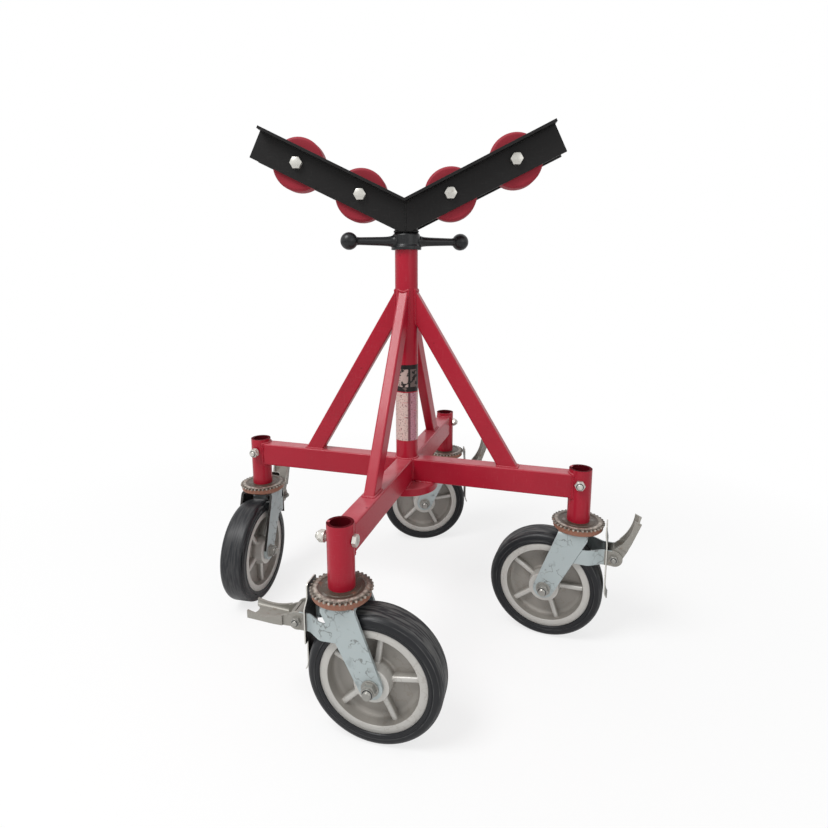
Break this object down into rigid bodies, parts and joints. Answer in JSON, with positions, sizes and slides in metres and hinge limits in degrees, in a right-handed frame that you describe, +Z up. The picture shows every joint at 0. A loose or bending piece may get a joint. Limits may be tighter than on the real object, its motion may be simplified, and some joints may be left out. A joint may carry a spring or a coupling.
{
  "type": "pipe jack stand",
  "caption": "Wheeled pipe jack stand: a red welded cross base on braked swivel casters, with a screw post, a ball-ended hand nut and a black V head with rollers.",
  "frame": {"origin": "on the floor, under the middle of the whole outline, 29.9 mm from the axis of the post towards the right leg", "axes": "+Z up along the post and its screw; +X along the right leg; -Y along the front leg"},
  "size_m": [0.801, 0.7504, 0.9234],
  "materials": {
    "red_paint": "gloss",
    "black_paint": "satin",
    "black_casting": "satin",
    "roller_red": "satin",
    "zinc": "satin",
    "zinc_plate": "matte",
    "dull_steel": "matte",
    "worn_steel": "rough",
    "screw_steel": "oiled",
    "cast_aluminium": "as cast",
    "tyre": "matte",
    "brake_casting": "zinc plated"
  },
  "bodies": {
    "frame": {"post": "red_paint", "hub_plate": "red_paint", "leg_front": "red_paint", "brace_front": "red_paint", "socket_front": "red_paint", "leg_right": "red_paint", "brace_right": "red_paint", "socket_right": "red_paint", "leg_back": "red_paint", "brace_back": "red_paint", "socket_back": "red_paint", "leg_left": "red_paint", "brace_left": "red_paint", "socket_left": "red_paint", "socket_bolts": "zinc", "caster_stems": "dull_steel", "swivel_rings": "worn_steel"},
    "hand_nut": {"hand_nut": "black_casting"},
    "screw": {"screw": "screw_steel"},
    "head": {"arm_front_right": "black_paint", "arm_rear_right": "black_paint", "arm_front_left": "black_paint", "arm_rear_left": "black_paint", "head_socket": "black_paint", "roller_bolts": "zinc"},
    "roller_outer_left": {"roller_outer_left": "roller_red"},
    "roller_inner_left": {"roller_inner_left": "roller_red"},
    "roller_inner_right": {"roller_inner_right": "roller_red"},
    "roller_outer_right": {"roller_outer_right": "roller_red"},
    "fork_front": {"fork_front": "zinc_plate", "caster_bolts_front": "zinc", "bracket_front": "zinc_plate"},
    "wheel_front": {"wheel_centre_front": "cast_aluminium", "tyre_front": "tyre"},
    "pedal_front": {"pedal_front": "brake_casting"},
    "blade_front": {"blade_front": "dull_steel"},
    "fork_right": {"fork_right": "zinc_plate", "caster_bolts_right": "zinc", "bracket_right": "zinc_plate"},
    "wheel_right": {"wheel_centre_right": "cast_aluminium", "tyre_right": "tyre"},
    "pedal_right": {"pedal_right": "brake_casting"},
    "blade_right": {"blade_right": "dull_steel"},
    "fork_back": {"fork_back": "zinc_plate", "caster_bolts_back": "zinc", "bracket_back": "zinc_plate"},
    "wheel_back": {"wheel_centre_back": "cast_aluminium", "tyre_back": "tyre"},
    "pedal_back": {"pedal_back": "brake_casting"},
    "blade_back": {"blade_back": "dull_steel"},
    "fork_left": {"fork_left": "zinc_plate", "caster_bolts_left": "zinc", "bracket_left": "zinc_plate"},
    "wheel_left": {"wheel_centre_left": "cast_aluminium", "tyre_left": "tyre"},
    "pedal_left": {"pedal_left": "brake_casting"},
    "blade_left": {"blade_left": "dull_steel"}
  },
  "joints": [
    {"name": "nut_turn", "type": "hinge", "parent": "frame", "child": "hand_nut", "pos_m": [-0.0299, 0, 0.728], "axis": [0, 0, -1], "range_deg": [0, 21600]},
    {"name": "screw_lift", "type": "slide", "parent": "frame", "child": "screw", "axis": [0, 0, 1], "range_m": [0, 0.3048]},
    {"name": "head_turn", "type": "hinge", "parent": "screw", "child": "head", "pos_m": [-0.0299, 0, 0.745], "axis": [0, 0, 1], "continuous": true},
    {"name": "outer_left_roll", "type": "hinge", "parent": "head", "child": "roller_outer_left", "pos_m": [-0.21693, -0.04318, 0.86358], "axis": [-0.225, 0.9744, 0], "continuous": true},
    {"name": "inner_left_roll", "type": "hinge", "parent": "head", "child": "roller_inner_left", "pos_m": [-0.10781, -0.01799, 0.80896], "axis": [-0.225, 0.9744, 0], "continuous": true},
    {"name": "inner_right_roll", "type": "hinge", "parent": "head", "child": "roller_inner_right", "pos_m": [0.04802, 0.01799, 0.80896], "axis": [-0.225, 0.9744, 0], "continuous": true},
    {"name": "outer_right_roll", "type": "hinge", "parent": "head", "child": "roller_outer_right", "pos_m": [0.15713, 0.04318, 0.86358], "axis": [-0.225, 0.9744, 0], "continuous": true},
    {"name": "front_swivel", "type": "hinge", "parent": "frame", "child": "fork_front", "pos_m": [-0.0299, -0.32385, 0.227], "axis": [0, 0, 1], "continuous": true},
    {"name": "front_wheel_roll", "type": "hinge", "parent": "fork_front", "child": "wheel_front", "pos_m": [0.02257, -0.32193, 0.1016], "axis": [-0.0366, 0.9993, 0], "continuous": true},
    {"name": "front_pedal_turn", "type": "hinge", "parent": "fork_front", "child": "pedal_front", "pos_m": [-0.09436, -0.32621, 0.175], "axis": [-0.0366, 0.9993, 0], "range_deg": [0, 66]},
    {"name": "front_blade_slide", "type": "slide", "parent": "fork_front", "child": "blade_front", "axis": [-0.9993, -0.0366, 0], "range_m": [0, 0.0016]},
    {"name": "right_swivel", "type": "hinge", "parent": "frame", "child": "fork_right", "pos_m": [0.29395, 0, 0.227], "axis": [0, 0, 1], "continuous": true},
    {"name": "right_wheel_roll", "type": "hinge", "parent": "fork_right", "child": "wheel_right", "pos_m": [0.24165, 0.00458, 0.1016], "axis": [-0.0872, -0.9962, 0], "continuous": true},
    {"name": "right_pedal_turn", "type": "hinge", "parent": "fork_right", "child": "pedal_right", "pos_m": [0.3582, -0.00562, 0.175], "axis": [-0.0872, -0.9962, 0], "range_deg": [-66, 0]},
    {"name": "right_blade_slide", "type": "slide", "parent": "fork_right", "child": "blade_right", "axis": [0.9962, -0.0872, 0], "range_m": [-0.0016, 0]},
    {"name": "back_swivel", "type": "hinge", "parent": "frame", "child": "fork_back", "pos_m": [-0.0299, 0.32385, 0.227], "axis": [0, 0, 1], "continuous": true},
    {"name": "back_wheel_roll", "type": "hinge", "parent": "fork_back", "child": "wheel_back", "pos_m": [-0.07954, 0.30676, 0.1016], "axis": [0.3256, -0.9455, 0], "continuous": true},
    {"name": "back_pedal_turn", "type": "hinge", "parent": "fork_back", "child": "pedal_back", "pos_m": [0.03109, 0.34485, 0.175], "axis": [0.3256, -0.9455, 0], "range_deg": [-66, 0]},
    {"name": "back_blade_slide", "type": "slide", "parent": "fork_back", "child": "blade_back", "axis": [0.9455, 0.3256, 0], "range_m": [-0.0016, 0]},
    {"name": "left_swivel", "type": "hinge", "parent": "frame", "child": "fork_left", "pos_m": [-0.35375, 0, 0.227], "axis": [0, 0, 1], "continuous": true},
    {"name": "left_wheel_roll", "type": "hinge", "parent": "fork_left", "child": "wheel_left", "pos_m": [-0.34917, -0.0523, 0.1016], "axis": [0.9962, 0.0872, 0], "continuous": true},
    {"name": "left_pedal_turn", "type": "hinge", "parent": "fork_left", "child": "pedal_left", "pos_m": [-0.35937, 0.06426, 0.175], "axis": [0.9962, 0.0872, 0], "range_deg": [-66, 0]},
    {"name": "left_blade_slide", "type": "slide", "parent": "fork_left", "child": "blade_left", "axis": [-0.0872, 0.9962, 0], "range_m": [-0.0016, 0]}
  ],
  "couplings": [
    {"joint": "screw_lift", "follows": "nut_turn", "m_per_rad": 0.0008085},
    {"joint": "front_blade_slide", "follows": "front_pedal_turn", "m_per_rad": 0.001388},
    {"joint": "right_blade_slide", "follows": "right_pedal_turn", "m_per_rad": 0.001388},
    {"joint": "back_blade_slide", "follows": "back_pedal_turn", "m_per_rad": 0.001388},
    {"joint": "left_blade_slide", "follows": "left_pedal_turn", "m_per_rad": 0.001388}
  ]
}
